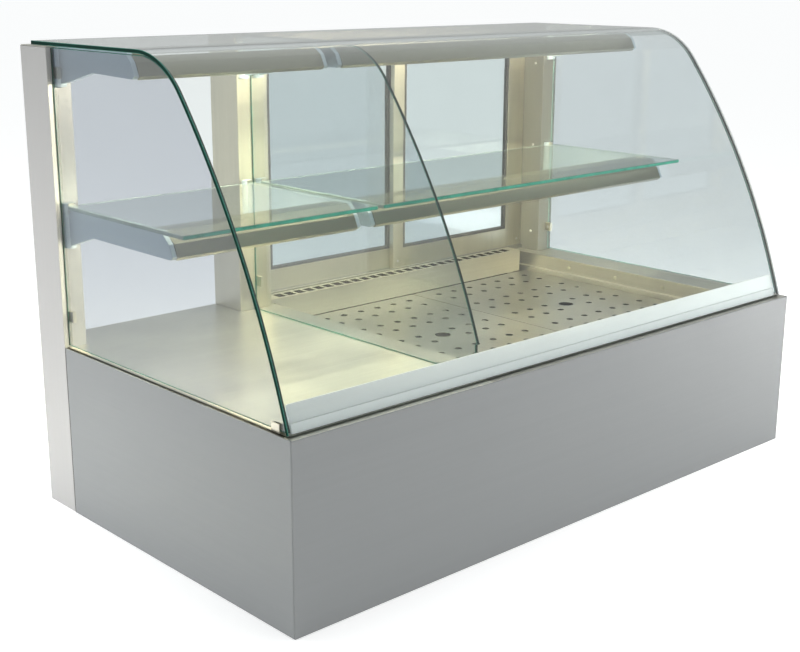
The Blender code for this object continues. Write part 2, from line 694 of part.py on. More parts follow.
def add_controls(steel, plastic, lens):
    """The control plate in the rear recess: thermostat knob, two rocker switches and a pilot lamp."""
    low = (RECESS_X[0] - TRAY_WALL, PANEL_Y, RECESS_Z[0] - TRAY_WALL)
    high = (RECESS_X[1] + TRAY_WALL, DEPTH - SHEET - GAP, RECESS_Z[1] + TRAY_WALL)
    tray = add_object("control_plate", block(low, high), steel)
    inner_low = (low[0] + SHEET, PANEL_Y + SHEET, low[2] + SHEET)
    inner_high = (high[0] - SHEET, DEPTH, high[2] - SHEET)
    cut(tray, block(inner_low, inner_high))
    face = PANEL_Y + SHEET
    across, up = SWITCH_HOLE
    for x in SWITCH_X.values():
        hole_low = (x - across, PANEL_Y - PAST, CONTROL_Z - up)
        cut(tray, block(hole_low, (x + across, PANEL_Y + PAST, CONTROL_Z + up)))
    body = disc("y", (KNOB_X, CONTROL_Z), KNOB_RADIUS, face + GAP, face + KNOB_RIM, 28)
    knob = add_object("thermostat_knob", body, plastic, place(KNOB_X, face, CONTROL_Z))
    ridge_low = (KNOB_X - 0.0015, face + 0.006, CONTROL_Z)
    weld(knob, block(ridge_low, (KNOB_X + 0.0015, face + KNOB_HEIGHT, CONTROL_Z + KNOB_RADIUS - 0.0005)))
    for name, x in SWITCH_X.items():
        switch = prism("x", rocker_outline(face), x - SWITCH_HALF, x + SWITCH_HALF)
        add_object(name, switch, plastic, place(x, PANEL_Y, CONTROL_Z))
    lamp = disc("y", (LAMP_X, CONTROL_Z), LAMP_RADIUS, face + GAP, face + 0.006, 16)
    add_object("pilot_lamp", lamp, lens)
    inner = DEPTH - 0.020
    gland = add_object("mains_gland", disc("y", GLAND, GLAND_RADIUS, inner, DEPTH - 0.0005, 12), plastic)
    cut(gland, disc("y", GLAND, GLAND_BORE, inner - PAST, DEPTH + PAST, 12))


def main():
    clear_scene()
    steel = make_material("brushed_steel", (0.62, 0.62, 0.60), 0.32, 1.0)
    casing = make_material("satin_casing", (0.50, 0.51, 0.51), 0.45, 0.6)
    aluminium = make_material("satin_aluminium", (0.72, 0.74, 0.76), 0.35, 1.0)
    bracket_grey = make_material("bracket_grey", (0.42, 0.46, 0.50), 0.45, 0.5)
    glass = make_material("clear_glass", (0.86, 0.93, 0.91), 0.02, 0.0, 1.0)
    lamp_glass = make_material("lamp_glass", (1.0, 0.90, 0.66), 0.25, 0.0, 0.3)
    plastic = make_material("grey_plastic", (0.60, 0.63, 0.62), 0.40)
    black = make_material("black_plastic", (0.03, 0.03, 0.03), 0.35)
    lens = make_material("amber_lens", (0.85, 0.35, 0.05), 0.15)
    wool = make_material("mineral_wool", (0.66, 0.60, 0.44), 0.95)
    add_base(casing)
    add_posts(steel)
    add_deck(steel)
    add_insulation(wool)
    add_plates(steel)
    add_duct(steel)
    add_fan(black, black)
    add_heater(steel)
    add_fixed_glass(glass, aluminium)
    add_front_glass(glass, aluminium)
    add_brackets(bracket_grey)
    add_troughs(steel, lamp_glass)
    add_shelves(glass)
    add_tracks(steel)
    add_doors(steel, glass, plastic)
    add_controls(steel, black, lens)


main()
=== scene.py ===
"""Looks for the hot food display case: glass, brushed steel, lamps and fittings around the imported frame."""

import math

import bmesh
import bpy
from mathutils import Matrix, Vector
from mathutils.geometry import tessellate_polygon


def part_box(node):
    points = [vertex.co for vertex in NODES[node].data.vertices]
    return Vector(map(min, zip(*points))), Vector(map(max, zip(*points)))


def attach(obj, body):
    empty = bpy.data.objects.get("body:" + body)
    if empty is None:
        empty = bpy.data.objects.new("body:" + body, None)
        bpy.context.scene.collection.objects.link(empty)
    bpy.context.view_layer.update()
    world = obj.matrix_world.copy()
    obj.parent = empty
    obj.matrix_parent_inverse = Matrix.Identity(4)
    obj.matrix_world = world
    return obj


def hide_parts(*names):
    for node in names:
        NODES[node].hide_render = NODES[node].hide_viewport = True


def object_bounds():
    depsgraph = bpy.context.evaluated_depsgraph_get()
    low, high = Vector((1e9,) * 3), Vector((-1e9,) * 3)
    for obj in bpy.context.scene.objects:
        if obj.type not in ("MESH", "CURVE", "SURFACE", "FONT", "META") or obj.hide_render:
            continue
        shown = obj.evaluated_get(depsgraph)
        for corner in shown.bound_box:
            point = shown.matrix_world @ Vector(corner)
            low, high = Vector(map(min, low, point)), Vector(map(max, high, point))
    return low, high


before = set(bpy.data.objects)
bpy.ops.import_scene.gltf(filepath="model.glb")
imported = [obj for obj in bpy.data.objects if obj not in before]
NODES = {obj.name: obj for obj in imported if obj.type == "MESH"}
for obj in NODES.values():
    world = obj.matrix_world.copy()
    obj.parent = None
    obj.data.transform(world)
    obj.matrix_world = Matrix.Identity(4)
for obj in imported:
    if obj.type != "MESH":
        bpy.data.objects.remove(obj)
cad_low, cad_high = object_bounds()

# Places are given from the case's left, front and bottom, in metres.
WIDTH, DEPTH, HEIGHT = (cad_high[i] - cad_low[i] for i in range(3))
POST_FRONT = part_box("rear_left_post")[0].y + DEPTH / 2
POST_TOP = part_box("rear_left_post")[1].z

# The curved glass from the side: its thickness, its foot (y, z), and the slopes at its foot and below its bend.
GLASS = 0.006
FOOT = (0.014, 0.2905)
FOOT_ANGLE = math.radians(73)
BEND_ANGLE = math.radians(52)
BEND_RADIUS = 0.135
GLASS_REAR = 0.655
# The gap that its seal fills over the end glasses, and the arris of a pane.
SEAL = 0.002
CHAMFER = 0.0007
# Where the end glasses start to follow the curve, and the partition's front edge below that.
CURVE_FOOT = 0.3355
PARTITION_FOOT = 0.042

# Outer faces that small fittings stand on.
WELL_WALL = 1.130
WELL_FRONT = 0.072
POST_WIDTH = 0.044
CONTROL_FACE = 0.657
KNOB_HEIGHT = 0.160
# A fitting on a face stands this far off it, so that the two never share a plane.
CLEAR = 0.0002

PLATE_COLUMNS = 7
PLATE_PITCH = 0.0425
PLATE_ROWS = (-0.225, -0.183, -0.124, -0.082, -0.023, 0.019, 0.079, 0.121, 0.183, 0.225)
HOLE_RADIUS = 0.0066
FINGER_RADIUS = 0.0145
# No small hole has its centre nearer than this to the finger hole's.
HOLE_FREE = 0.024


def place(x, y, z):
    """A point of the row frame from its distances from the left, front and bottom."""
    return Vector((x - WIDTH / 2, y - DEPTH / 2, z))


def from_corner(point):
    """A point of the row frame as distances from the left, front and bottom."""
    return Vector((point[0] + WIDTH / 2, point[1] + DEPTH / 2, point[2]))


def extent(name):
    low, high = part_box(name)
    return from_corner(low), from_corner(high)


# ---------------------------------------------------------------- materials


def add_node(tree, kind, inputs=(), **settings):
    made = tree.nodes.new(kind)
    for key, value in settings.items():
        setattr(made, key, value)
    for key, value in dict(inputs).items():
        socket = made.inputs[key]
        if isinstance(value, bpy.types.NodeSocket):
            tree.links.new(value, socket)
        else:
            socket.default_value = value
    return made


def new_material(name):
    made = bpy.data.materials.new(name)
    made.use_nodes = True
    tree = made.node_tree
    return made, tree, tree.nodes["Principled BSDF"]


def ramp(tree, factor, stops):
    made = add_node(tree, "ShaderNodeValToRGB", {"Fac": factor})
    elements = made.color_ramp.elements
    while len(elements) < len(stops):
        elements.new(0.5)
    for element, (position, colour) in zip(elements, stops):
        element.position = position
        element.color = (*colour, 1) if isinstance(colour, tuple) else (colour, colour, colour, 1)
    return made.outputs["Color"]


def scaled(colour, share):
    return tuple(min(1.0, c * share) for c in colour)


def multiplied(tree, first, second, share=1.0):
    """One colour darkened by another, by a share of it."""
    made = add_node(tree, "ShaderNodeMix", data_type="RGBA", blend_type="MULTIPLY")
    for socket, value in ((0, share), (6, first), (7, second)):
        if isinstance(value, bpy.types.NodeSocket):
            tree.links.new(value, made.inputs[socket])
        else:
            made.inputs[socket].default_value = value
    return made.outputs[2]


def relieved(tree, shader, height, strength, distance=0.0002):
    """Gives a shader a bumpy surface."""
    made = add_node(tree, "ShaderNodeBump", {"Height": height, "Strength": strength, "Distance": distance})
    tree.links.new(made.outputs["Normal"], shader.inputs["Normal"])


def roughened(tree, shader, value, low, high, **span):
    """Gives a shader a roughness that varies between two values."""
    made = add_node(tree, "ShaderNodeMapRange", {"Value": value, "To Min": low, "To Max": high})
    for key, limit in span.items():
        made.inputs[key.replace("_", " ").title()].default_value = limit
    tree.links.new(made.outputs["Result"], shader.inputs["Roughness"])


def inside_box(tree, at, low, high):
    """1 inside a box given from the case's left, front and bottom, and 0 outside it."""
    above = add_node(tree, "ShaderNodeVectorMath", {0: at, 1: place(*low)}, operation="SUBTRACT")
    below = add_node(tree, "ShaderNodeVectorMath", {0: place(*high), 1: at}, operation="SUBTRACT")
    least = add_node(
        tree, "ShaderNodeVectorMath", {0: above.outputs[0], 1: below.outputs[0]}, operation="MINIMUM"
    )
    split = add_node(tree, "ShaderNodeSeparateXYZ", {"Vector": least.outputs[0]})
    level = add_node(tree, "ShaderNodeMath", {0: split.outputs[0], 1: split.outputs[1]}, operation="MINIMUM")
    nearest = add_node(tree, "ShaderNodeMath", {0: level.outputs[0], 1: split.outputs[2]}, operation="MINIMUM")
    return add_node(tree, "ShaderNodeMath", {0: nearest.outputs[0], 1: 0.0}, operation="GREATER_THAN").outputs[0]


def metal(name, colour, grain, rough, metallic=1.0, streak=0.02, bump=0.02, mottle=0.04, edge_highlight=1.12, painted_shade=()):
    """Sheet metal: a fine directional grain, slow stains, a painted highlight that brightens sharp edges, and painted
    shade that darkens the inside of given boxes.
    """
    made, tree, shader = new_material(name)
    shader.inputs["Metallic"].default_value = metallic
    at = add_node(tree, "ShaderNodeTexCoord").outputs["Object"]
    along = {"x": (4, 900, 900), "y": (900, 4, 900), "z": (900, 900, 4)}[grain]
    coarse = {"x": (1.5, 140, 140), "y": (140, 1.5, 140), "z": (140, 140, 1.5)}[grain]
    fine = add_node(tree, "ShaderNodeMapping", {"Vector": at, "Scale": along}).outputs["Vector"]
    band = add_node(tree, "ShaderNodeMapping", {"Vector": at, "Scale": coarse}).outputs["Vector"]
    hair = add_node(tree, "ShaderNodeTexNoise", {"Vector": fine, "Scale": 1.0, "Detail": 3.0, "Roughness": 0.65})
    lines = add_node(tree, "ShaderNodeTexNoise", {"Vector": band, "Scale": 1.0, "Detail": 4.0, "Roughness": 0.6})
    stain = add_node(tree, "ShaderNodeTexNoise", {"Vector": at, "Scale": 5.0, "Detail": 3.0, "Roughness": 0.55})
    tint = ramp(tree, lines.outputs["Fac"], [(0.3, scaled(colour, 1 - streak)), (0.7, scaled(colour, 1 + streak))])
    cloud = ramp(tree, stain.outputs["Fac"], [(0.35, 1 - mottle), (0.65, 1.0)])
    # Painted highlight: where pointiness finds a sharp edge, the colour is made brighter by a share.
    pointed = add_node(tree, "ShaderNodeNewGeometry").outputs["Pointiness"]
    edge = ramp(tree, pointed, [(0.50, 1.0), (0.60, edge_highlight)])
    surface = multiplied(tree, multiplied(tree, tint, cloud), edge)
    # Painted shade: inside each box the colour is darkened towards the shade colour.
    for low, high in painted_shade:
        surface = multiplied(tree, surface, PAINTED_SHADE_COLOUR, inside_box(tree, at, low, high))
    tree.links.new(surface, shader.inputs["Base Color"])
    mixed = add_node(tree, "ShaderNodeMath", {0: hair.outputs["Fac"], 1: stain.outputs["Fac"]}, operation="ADD")
    roughened(tree, shader, mixed.outputs[0], *rough, from_min=0.7, from_max=1.3)
    relieved(tree, shader, hair.outputs["Fac"], bump)
    return made


def plastic(name, colour, rough=0.42, grit=0.15, vary=0.08):
    """Moulded plastic or rubber with a fine spark-eroded grain."""
    made, tree, shader = new_material(name)
    at = add_node(tree, "ShaderNodeTexCoord").outputs["Object"]
    cloud = add_node(tree, "ShaderNodeTexNoise", {"Vector": at, "Scale": 30.0, "Detail": 3.0})
    tint = ramp(tree, cloud.outputs["Fac"], [(0.3, scaled(colour, 1 - vary)), (0.7, scaled(colour, 1 + vary))])
    tree.links.new(tint, shader.inputs["Base Color"])
    grain = add_node(tree, "ShaderNodeTexVoronoi", {"Vector": at, "Scale": 1400.0})
    roughened(tree, shader, cloud.outputs["Fac"], rough - 0.08, rough + 0.08)
    relieved(tree, shader, grain.outputs["Distance"], grit)
    return made


def clear_glass(name, tint, shade):
    """Float glass: faint smears in its polish, and lamps reach through it."""
    made, tree, shader = new_material(name)
    at = add_node(tree, "ShaderNodeTexCoord").outputs["Object"]
    smear = add_node(tree, "ShaderNodeTexNoise", {"Vector": at, "Scale": 9.0, "Detail": 4.0, "Roughness": 0.6})
    colour = ramp(tree, smear.outputs["Fac"], [(0.3, scaled(tint, 0.985)), (0.7, tint)])
    tree.links.new(colour, shader.inputs["Base Color"])
    shader.inputs["Roughness"].default_value = 0.0
    shader.inputs["Transmission Weight"].default_value = 1.0
    shader.inputs["IOR"].default_value = 1.52
    clear = add_node(tree, "ShaderNodeBsdfTransparent", {"Color": (*shade, 1)})
    ray = add_node(tree, "ShaderNodeLightPath").outputs["Is Shadow Ray"]
    mixed = add_node(tree, "ShaderNodeMixShader", {0: ray, 1: shader.outputs[0], 2: clear.outputs[0]})
    tree.links.new(mixed.outputs[0], tree.nodes["Material Output"].inputs["Surface"])
    return made


def glass_edge(name, dark, light, glow, rough, gloss):
    """The cut edge of a pane, green, with a painted glow that stands in for the light that runs inside the glass and
    comes out at the edge.
    """
    made, tree, shader = new_material(name)
    at = add_node(tree, "ShaderNodeTexCoord").outputs["Object"]
    cloud = add_node(tree, "ShaderNodeTexNoise", {"Vector": at, "Scale": 26.0, "Detail": 4.0, "Roughness": 0.7})
    tint = ramp(tree, cloud.outputs["Fac"], [(0.32, dark), (0.68, light)])
    tree.links.new(tint, shader.inputs["Base Color"])
    tree.links.new(tint, shader.inputs["Emission Color"])
    # Painted light: the edge glows in its own colour, though it is no lamp.
    shader.inputs["Emission Strength"].default_value = glow
    roughened(tree, shader, cloud.outputs["Fac"], rough * 0.6, rough * 1.4)
    shader.inputs["Specular IOR Level"].default_value = gloss
    return quiet(made)


def lamp_glass():
    """An opal tube with a warm, slightly cloudy glow."""
    made, tree, shader = new_material("lamp_opal")
    at = add_node(tree, "ShaderNodeTexCoord").outputs["Object"]
    cloud = add_node(tree, "ShaderNodeTexNoise", {"Vector": at, "Scale": 40.0, "Detail": 2.0})
    tint = ramp(tree, cloud.outputs["Fac"], [(0.3, (1.0, 0.80, 0.50)), (0.7, (1.0, 0.90, 0.68))])
    tree.links.new(tint, shader.inputs["Base Color"])
    tree.links.new(tint, shader.inputs["Emission Color"])
    shader.inputs["Emission Strength"].default_value = 3.0
    shader.inputs["Roughness"].default_value = 0.2
    return quiet(made)


def quiet(material):
    """Glows without being sampled as a lamp, which keeps the render clean."""
    material.cycles.emission_sampling = "NONE"
    return material


def lens(name, colour, glow):
    """A faceted plastic lens with a glossy coat and a faint glow."""
    made, tree, shader = new_material(name)
    at = add_node(tree, "ShaderNodeTexCoord").outputs["Object"]
    facet = add_node(tree, "ShaderNodeTexVoronoi", {"Vector": at, "Scale": 700.0})
    tint = ramp(tree, facet.outputs["Distance"], [(0.0, colour), (0.6, scaled(colour, 0.6))])
    tree.links.new(tint, shader.inputs["Base Color"])
    tree.links.new(tint, shader.inputs["Emission Color"])
    shader.inputs["Emission Strength"].default_value = glow
    relieved(tree, shader, facet.outputs["Distance"], 0.4, 0.0004)
    shader.inputs["Roughness"].default_value = 0.12
    shader.inputs["Coat Weight"].default_value = 0.6
    return quiet(made)


def fibre(name, colour):
    """Mineral wool: matted fibres with a rough surface."""
    made, tree, shader = new_material(name)
    at = add_node(tree, "ShaderNodeTexCoord").outputs["Object"]
    mat = add_node(tree, "ShaderNodeTexNoise", {"Vector": at, "Scale": 160.0, "Detail": 6.0, "Distortion": 2.0})
    tint = ramp(tree, mat.outputs["Fac"], [(0.3, scaled(colour, 0.6)), (0.7, scaled(colour, 1.15))])
    tree.links.new(tint, shader.inputs["Base Color"])
    relieved(tree, shader, mat.outputs["Fac"], 0.8, 0.002)
    shader.inputs["Roughness"].default_value = 0.95
    return made


# Unlit spaces where shade is painted into the metal's colour, as boxes: inside the air duct, under the plates, in their
# sheets' undersides, and under the deck's rim.
DUCT_INSIDE = ((0.4300, 0.6048, 0.12), (1.1040, 0.6415, 0.2962))
UNDER_PLATES = ((0.4300, 0.0700, 0.10), (1.1350, 0.6036, 0.2336))
UNDER_SHEETS = ((0.4300, 0.0700, 0.10), (1.1350, 0.6100, 0.2494))
DECK_RIM = ((-0.0010, 0.0200, 0.28), (0.0076, 0.6000, 0.2890))
# Painted shadow lines where the side panels meet the rear posts.
SEAM_SHADOWS = [((x - 0.003, 0.5954, -0.01), (x + 0.003, 0.6, 0.30)) for x in (0.0, WIDTH)]
# The colour of the painted shade.
PAINTED_SHADE_COLOUR = (0.07, 0.065, 0.06, 1)

# Metals: colour, direction of the grain, range of roughness, and then what differs from plain metal. Their roughness
# stays above 0.28, where the render's denoiser keeps the edges of holes and slots sharp.
SATIN_CASE = {"metallic": 0.3, "streak": 0.012, "bump": 0.01, "mottle": 0.02, "edge_highlight": 1.25}
SATIN_POST = {"metallic": 0.4, "streak": 0.012, "bump": 0.01, "mottle": 0.02, "edge_highlight": 1.1}
CASING = metal("casing_satin", (0.190, 0.198, 0.200), "x", (0.36, 0.46), **SATIN_CASE)
# The side panels' copy runs its grain along y and is a little darker than the front's, a painted shade.
CASING_SIDE = metal("casing_satin_side", (0.182, 0.190, 0.192), "y", (0.36, 0.46), painted_shade=SEAM_SHADOWS, **SATIN_CASE)
POST = metal("post_satin", (0.38, 0.375, 0.368), "z", (0.34, 0.44), **SATIN_POST)
# A darker copy of the posts' satin for the right rear post: painted shade.
POST_SHADED = metal("post_satin_shaded", (0.13, 0.13, 0.115), "z", (0.34, 0.44), **SATIN_POST)
STEEL_X = metal("brushed_steel_x", (0.58, 0.57, 0.50), "x", (0.30, 0.38), streak=0.06, mottle=0.08)
STEEL_Y = metal("brushed_steel_y", (0.58, 0.57, 0.50), "y", (0.30, 0.38), streak=0.06, mottle=0.08)
STEEL_Z = metal("brushed_steel_z", (0.55, 0.525, 0.43), "z", (0.30, 0.40), streak=0.06, mottle=0.10)
DUCT_STEEL = metal(
    "duct_steel", (0.62, 0.60, 0.52), "x", (0.30, 0.38), streak=0.06, mottle=0.08, painted_shade=[DUCT_INSIDE]
)
DECK_STEEL = metal(
    "deck_steel", (0.69, 0.68, 0.60), "x", (0.29, 0.35), 0.94, streak=0.05, mottle=0.12, painted_shade=[DECK_RIM]
)
WELL_STEEL = metal(
    "well_steel", (0.44, 0.43, 0.385), "y", (0.30, 0.38), 0.9, streak=0.06, mottle=0.10,
    painted_shade=[DUCT_INSIDE, UNDER_PLATES],
)
PLATE_STEEL = metal(
    "plate_steel", (0.40, 0.395, 0.355), "y", (0.30, 0.36), streak=0.05, mottle=0.08, painted_shade=[UNDER_SHEETS]
)
TRACK = metal("track_steel", (0.36, 0.36, 0.33), "x", (0.30, 0.38), mottle=0.02)
TROUGH = metal("trough_steel", (0.28, 0.27, 0.205), "x", (0.29, 0.36), mottle=0.03)
DARK_STEEL = metal("dark_steel", (0.16, 0.155, 0.14), "x", (0.30, 0.45))
ALUMINIUM = metal("satin_aluminium", (0.95, 0.96, 0.97), "x", (0.30, 0.38), 0.05, bump=0.03, mottle=0.02)
BRACKET = metal("bracket_satin", (0.57, 0.655, 0.715), "y", (0.34, 0.46), 0.6, bump=0.03, mottle=0.03)
SCREW = metal("screw_zinc", (0.70, 0.70, 0.68), "z", (0.29, 0.36))
CLIP = metal("clip_nickel", (0.60, 0.575, 0.48), "z", (0.29, 0.36))
BLACK = plastic("black_plastic", (0.025, 0.025, 0.026), 0.38)
RUBBER = plastic("black_rubber", (0.018, 0.018, 0.018), 0.62, 0.3)
GRIP = plastic("grip_plastic", (0.56, 0.58, 0.56), 0.40)
WHITE = plastic("white_print", (0.80, 0.80, 0.78), 0.5, 0.05, 0.02)
# Glasses: the colour seen through them, and the colour that a lamp casts through them.
FRONT_GLASS = clear_glass("float_glass_front", (0.84, 0.88, 0.87), (0.95, 0.97, 0.965))
END_GLASS = clear_glass("float_glass_end", (0.70, 0.745, 0.77), (0.93, 0.96, 0.96))
# The left end glass is a darker copy of the end glass: painted shade on what is seen through it.
SHADED_LEFT_GLASS = clear_glass("float_glass_left_painted_shade", (0.51, 0.55, 0.59), (0.93, 0.96, 0.96))
SHELF_GLASS = clear_glass("float_glass_shelf", (0.92, 0.98, 0.965), (0.93, 0.97, 0.96))
DOOR_GLASS = clear_glass("float_glass_door", (0.75, 0.82, 0.82), (0.92, 0.96, 0.96))
# Cut edges: darkest and lightest colour, painted glow, roughness and gloss.
EDGE_DARK = glass_edge("glass_edge_dark", (0.001, 0.016, 0.011), (0.003, 0.034, 0.024), 0.02, 0.5, 0.05)
EDGE_TEAL = glass_edge("glass_edge_teal", (0.004, 0.19, 0.12), (0.014, 0.34, 0.23), 0.35, 0.3, 0.3)
EDGE_GROUND = glass_edge("glass_edge_ground", (0.20, 0.27, 0.25), (0.34, 0.41, 0.39), 0.02, 0.5, 0.3)
EDGE_PALE = glass_edge("glass_edge_pale", (0.62, 0.66, 0.66), (0.74, 0.78, 0.78), 0.25, 0.5, 0.2)
ARRIS = glass_edge("glass_arris", (0.012, 0.12, 0.085), (0.05, 0.24, 0.18), 0.05, 0.4, 0.3)
LAMP = lamp_glass()
AMBER = lens("amber_lens", (0.90, 0.32, 0.03), 0.5)
WOOL = fibre("mineral_wool", (0.62, 0.56, 0.40))


# ------------------------------------------------------------------- shapes


def add_piece(name, bm, materials, body, replaces=(), angle=35.0, bevel=0.0):
    bmesh.ops.recalc_face_normals(bm, faces=bm.faces)
    mesh = bpy.data.meshes.new(name)
    bm.to_mesh(mesh)
    bm.free()
    made = bpy.data.objects.new(name, mesh)
    bpy.context.scene.collection.objects.link(made)
    for material in materials if isinstance(materials, (list, tuple)) else [materials]:
        mesh.materials.append(material)
    for face in mesh.polygons:
        face.use_smooth = True
    mesh.set_sharp_from_angle(angle=math.radians(angle))
    if bevel:
        soften(made, bevel)
    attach(made, body)
    if replaces:
        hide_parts(*replaces)
    return made


def soften(obj, width):
    """Rounds the sharp edges off."""
    round_off = obj.modifiers.new("soft_edges", "BEVEL")
    round_off.width = width
    round_off.segments = 2
    round_off.limit_method = "ANGLE"
    round_off.angle_limit = math.radians(32)
    round_off.harden_normals = False


def finish_node(name, material, bevel=0.0):
    """Dresses a CAD node: its own material and, where wanted, edges softened after its facets are welded."""
    obj = NODES[name]
    obj.data.materials.clear()
    obj.data.materials.append(material)
    if bevel:
        weld = obj.modifiers.new("weld", "WELD")
        weld.merge_threshold = 0.00002
        flat = obj.modifiers.new("flat_faces", "DECIMATE")
        flat.decimate_type = "DISSOLVE"
        flat.angle_limit = math.radians(1.0)
        soften(obj, bevel)


def inset(outline, distance):
    """The outline drawn in by a distance, each corner along its mitre."""
    points = [Vector(p) for p in outline]
    count = len(points)
    area = sum(points[i].cross(points[(i + 1) % count]) for i in range(count))
    side = 1 if area > 0 else -1
    moved = []
    for i, point in enumerate(points):
        before = (point - points[i - 1]).normalized()
        after = (points[(i + 1) % count] - point).normalized()
        first = Vector((-before.y, before.x)) * side
        second = Vector((-after.y, after.x)) * side
        moved.append(point + (first + second) * distance / max(0.2, 1 + first.dot(second)))
    return [tuple(p) for p in moved]


def spot(axis, along, a, b):
    """A point from its place along an axis and its two other coordinates, in the order x, y, z."""
    if axis == "x":
        return place(along, a, b)
    if axis == "y":
        return place(a, along, b)
    return place(a, b, along)


def loops_along(bm, axis, levels):
    """A loop of vertices for each outline, at its place along an axis."""
    return [[bm.verts.new(spot(axis, along, a, b)) for a, b in outline] for along, outline in levels]


def bridge(bm, first, second, material=0):
    """Faces between two loops of as many vertices each."""
    count = len(first)
    made = []
    for i in range(count):
        j = (i + 1) % count
        face = bm.faces.new((first[i], first[j], second[j], second[i]))
        face.material_index = material
        made.append(face)
    return made


def cap(bm, loop, material=0):
    face = bm.faces.new(loop)
    face.material_index = material
    return face


def chamfered(outline, low, high, chamfer):
    """The levels of a plate from low to high whose faces' edges are chamfered."""
    small = inset(outline, chamfer)
    return [(low, small), (low + chamfer, outline), (high - chamfer, outline), (high, small)]


def chain(bm, loops):
    """Faces between each loop and the next."""
    for first, second in zip(loops, loops[1:]):
        bridge(bm, first, second)


def ringed(bm, loops):
    """Faces between each loop and the next, and between the last and the first."""
    for i, first in enumerate(loops):
        bridge(bm, first, loops[(i + 1) % len(loops)])


def closed(bm, loops):
    """Loops made into one closed shape."""
    chain(bm, loops)
    cap(bm, loops[0])
    cap(bm, loops[-1])
    return bm


def plate(axis, outline, low, high, chamfer=0.0):
    """An outline drawn out along an axis, with its two faces' edges chamfered."""
    bm = bmesh.new()
    if chamfer:
        levels = chamfered(outline, low, high, chamfer)
    else:
        levels = [(low, outline), (high, outline)]
    return closed(bm, loops_along(bm, axis, levels))


def corners(low, high):
    """A rectangle, anticlockwise."""
    return [(low[0], low[1]), (high[0], low[1]), (high[0], high[1]), (low[0], high[1])]


def box(low, high, chamfer=0.0):
    return plate("z", corners(low, high), low[2], high[2], chamfer)


def join(*parts):
    """Several closed shapes as one mesh."""
    whole = bmesh.new()
    for part in parts:
        mesh = bpy.data.meshes.new("part")
        part.to_mesh(mesh)
        part.free()
        whole.from_mesh(mesh)
        bpy.data.meshes.remove(mesh)
    return whole


def circle(centre, radius, sides):
    turns = [2 * math.pi * i / sides for i in range(sides)]
    return [(centre[0] + radius * math.cos(turn), centre[1] + radius * math.sin(turn)) for turn in turns]


def turned(axis, centre, profile):
    """A turned shape: its profile is (place along the axis, radius), from one end to the other."""
    bm = bmesh.new()
    return closed(bm, loops_along(bm, axis, [(along, circle(centre, radius, 24)) for along, radius in profile]))


def screw_head(axis, centre, surface, way, radius):
    """A pan-head screw with a cross recess. It stands on a surface and faces along the axis, up or down it."""
    def out(height):
        return surface + way * height

    sides = 24
    arm, depth = radius * 0.62, radius * 0.22
    bm = bmesh.new()
    profile = [
        (0.0001, radius), (radius * 0.32, radius), (radius * 0.56, radius * 0.80), (radius * 0.64, radius * 0.66)
    ]
    loops = loops_along(bm, axis, [(out(h), circle(centre, r, sides)) for h, r in profile])
    chain(bm, loops)
    cap(bm, loops[0])
    # The recess is a twelve-cornered cross, two rim corners to each of its own.
    thin = arm * 0.34
    cross = []
    for turn in range(4):
        angle = math.pi / 2 * turn
        for u, v in ((arm, -thin), (arm, thin), (thin, thin)):
            cross.append((centre[0] + u * math.cos(angle) - v * math.sin(angle),
                          centre[1] + u * math.sin(angle) + v * math.cos(angle)))
    top, floor = profile[-1][0], profile[-1][0] - depth
    rim, pit = loops_along(bm, axis, [(out(top), cross), (out(floor), cross)])
    start = [(i * 2 - 2) % sides for i in range(12)]
    for i in range(12):
        j = (i + 1) % 12
        a, b = start[i], (start[i] + 1) % sides
        c = (start[i] + 2) % sides
        bm.faces.new((rim[i], loops[-1][a], loops[-1][b], rim[j]))
        bm.faces.new((rim[j], loops[-1][b], loops[-1][c]))
    bridge(bm, rim, pit)
    cap(bm, pit)
    return bm


def frame_of(axis, low, high, outer, inner, near, far):
    """A frame square to an axis, from near to far. Its outlines are a rectangle drawn out by two margins."""
    bm = bmesh.new()
    outside, inside = (
        corners((low[0] - across, low[1] - up), (high[0] + across, high[1] + up)) for across, up in (outer, inner)
    )
    ringed(bm, loops_along(bm, axis, [(near, outside), (far, outside), (far, inside), (near, inside)]))
    return bm


def rounded(low, high, radius, steps=4):
    """A rectangle with round corners, anticlockwise."""
    first, *others = corners((low[0] + radius, low[1] + radius), (high[0] - radius, high[1] - radius))
    points = []
    for corner, (cx, cy) in enumerate([*others, first]):
        for step in range(steps + 1):
            angle = math.pi / 2 * (corner - 1 + step / steps)
            points.append((cx + radius * math.cos(angle), cy + radius * math.sin(angle)))
    return points


# -------------------------------------------------------------------- glass


def arc(centre, radius, start, end, steps):
    """Points (y, z) on a circle, by their angle from straight up towards the front."""
    turns = [start + (end - start) * i / steps for i in range(steps + 1)]
    return [(centre[0] - radius * math.sin(t), centre[1] + radius * math.cos(t)) for t in turns]


def glass_line(depth, bend_steps=28, slope_steps=56):
    """The curved glass from the side, from its rear edge over the bend to its foot."""
    slope_height = HEIGHT - BEND_RADIUS * (1 - math.cos(BEND_ANGLE)) - FOOT[1]
    radius = slope_height / (math.cos(BEND_ANGLE) - math.cos(FOOT_ANGLE))
    centre = (FOOT[0] + radius * math.sin(FOOT_ANGLE), FOOT[1] - radius * math.cos(FOOT_ANGLE))
    bend_y = centre[0] - (radius - BEND_RADIUS) * math.sin(BEND_ANGLE)
    bend = arc((bend_y, HEIGHT - BEND_RADIUS), BEND_RADIUS - depth, 0, BEND_ANGLE, bend_steps)
    slope = arc(centre, radius - depth, BEND_ANGLE, FOOT_ANGLE, slope_steps)
    return [(GLASS_REAR, HEIGHT - depth), *bend, *slope[1:]]


def cap_strip(bm, ring, material=0):
    """Fills the end of a bent strip, whose loop runs out along one face and back along the other."""
    count = len(ring) // 2
    for i in range(count - 1):
        cap(bm, (ring[i], ring[i + 1], ring[2 * count - 2 - i], ring[2 * count - 1 - i]), material)


